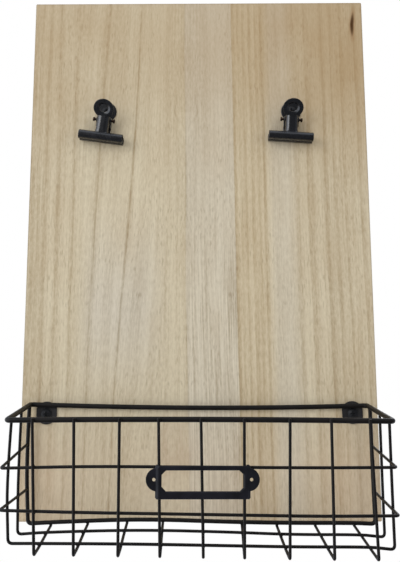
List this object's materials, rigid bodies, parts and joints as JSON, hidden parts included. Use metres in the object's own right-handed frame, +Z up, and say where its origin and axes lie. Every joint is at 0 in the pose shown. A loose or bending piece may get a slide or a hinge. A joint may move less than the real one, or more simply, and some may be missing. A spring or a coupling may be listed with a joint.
{
  "type": "wall memo board with clips and wire basket",
  "caption": "Upright wooden memo board that hangs on a wall, with sprung paper clips that swivel on screws and a black wire basket with a label holder across its foot.",
  "frame": {"origin": "middle of the board's back face, which lies on the wall", "axes": "+X to the viewer's right, +Y from the viewer into the wall, +Z up"},
  "size_m": [0.243, 0.0906, 0.3675],
  "materials": {
    "wood": "bare, fine sanded",
    "wire_paint": "satin black powder coat",
    "tab_paint": "satin black powder coat",
    "label_paint": "satin black paint",
    "clip_enamel": "glossy black enamel",
    "pin_steel": "blackened steel",
    "spring_steel": "oiled spring steel",
    "black_screw": "black phosphate",
    "zinc_plate": "zinc plated",
    "zinc_screw": "yellow zinc plated"
  },
  "bodies": {
    "board": {"board": "wood", "left_keyhole_plate": "zinc_plate", "right_keyhole_plate": "zinc_plate", "keyhole_plate_screws": "zinc_screw", "left_clip_screw": "black_screw", "right_clip_screw": "black_screw", "basket_left_tab": "tab_paint", "basket_right_tab": "tab_paint", "basket_screws": "black_screw", "basket_rim": "wire_paint", "basket_rear_hoop": "wire_paint", "basket_middle_hoop": "wire_paint", "basket_front_hoop": "wire_paint", "basket_upper_band": "wire_paint", "basket_lower_band": "wire_paint", "basket_upright_1": "wire_paint", "basket_upright_2": "wire_paint", "basket_upright_3": "wire_paint", "basket_upright_4": "wire_paint", "basket_upright_5": "wire_paint", "basket_upright_6": "wire_paint", "basket_upright_7": "wire_paint", "basket_upright_8": "wire_paint", "basket_upright_9": "wire_paint", "label_holder": "label_paint"},
    "left_clip": {"left_clip_rear_jaw": "clip_enamel", "left_clip_pivot_pin": "pin_steel", "left_clip_spring": "spring_steel"},
    "left_jaw": {"left_clip_front_jaw": "clip_enamel"},
    "right_clip": {"right_clip_rear_jaw": "clip_enamel", "right_clip_pivot_pin": "pin_steel", "right_clip_spring": "spring_steel"},
    "right_jaw": {"right_clip_front_jaw": "clip_enamel"}
  },
  "joints": [
    {"name": "left_clip_swivel", "type": "hinge", "parent": "board", "child": "left_clip", "pos_m": [-0.0671, -0.012, 0.099], "axis": [0, 1, 0], "continuous": true},
    {"name": "left_jaw_open", "type": "hinge", "parent": "left_clip", "child": "left_jaw", "pos_m": [-0.06813, -0.01785, 0.09147], "axis": [-0.9907, 0, 0.1357], "range_deg": [0, 45], "stiffness_Nm_per_rad": 0.012, "springref_deg": -51.57, "deforming": ["left_clip_spring"]},
    {"name": "right_clip_swivel", "type": "hinge", "parent": "board", "child": "right_clip", "pos_m": [0.0671, -0.012, 0.099], "axis": [0, 1, 0], "continuous": true},
    {"name": "right_jaw_open", "type": "hinge", "parent": "right_clip", "child": "right_jaw", "pos_m": [0.0666, -0.01785, 0.09142], "axis": [-0.9978, 0, 0.0663], "range_deg": [0, 45], "stiffness_Nm_per_rad": 0.012, "springref_deg": -51.57, "deforming": ["right_clip_spring"]}
  ]
}
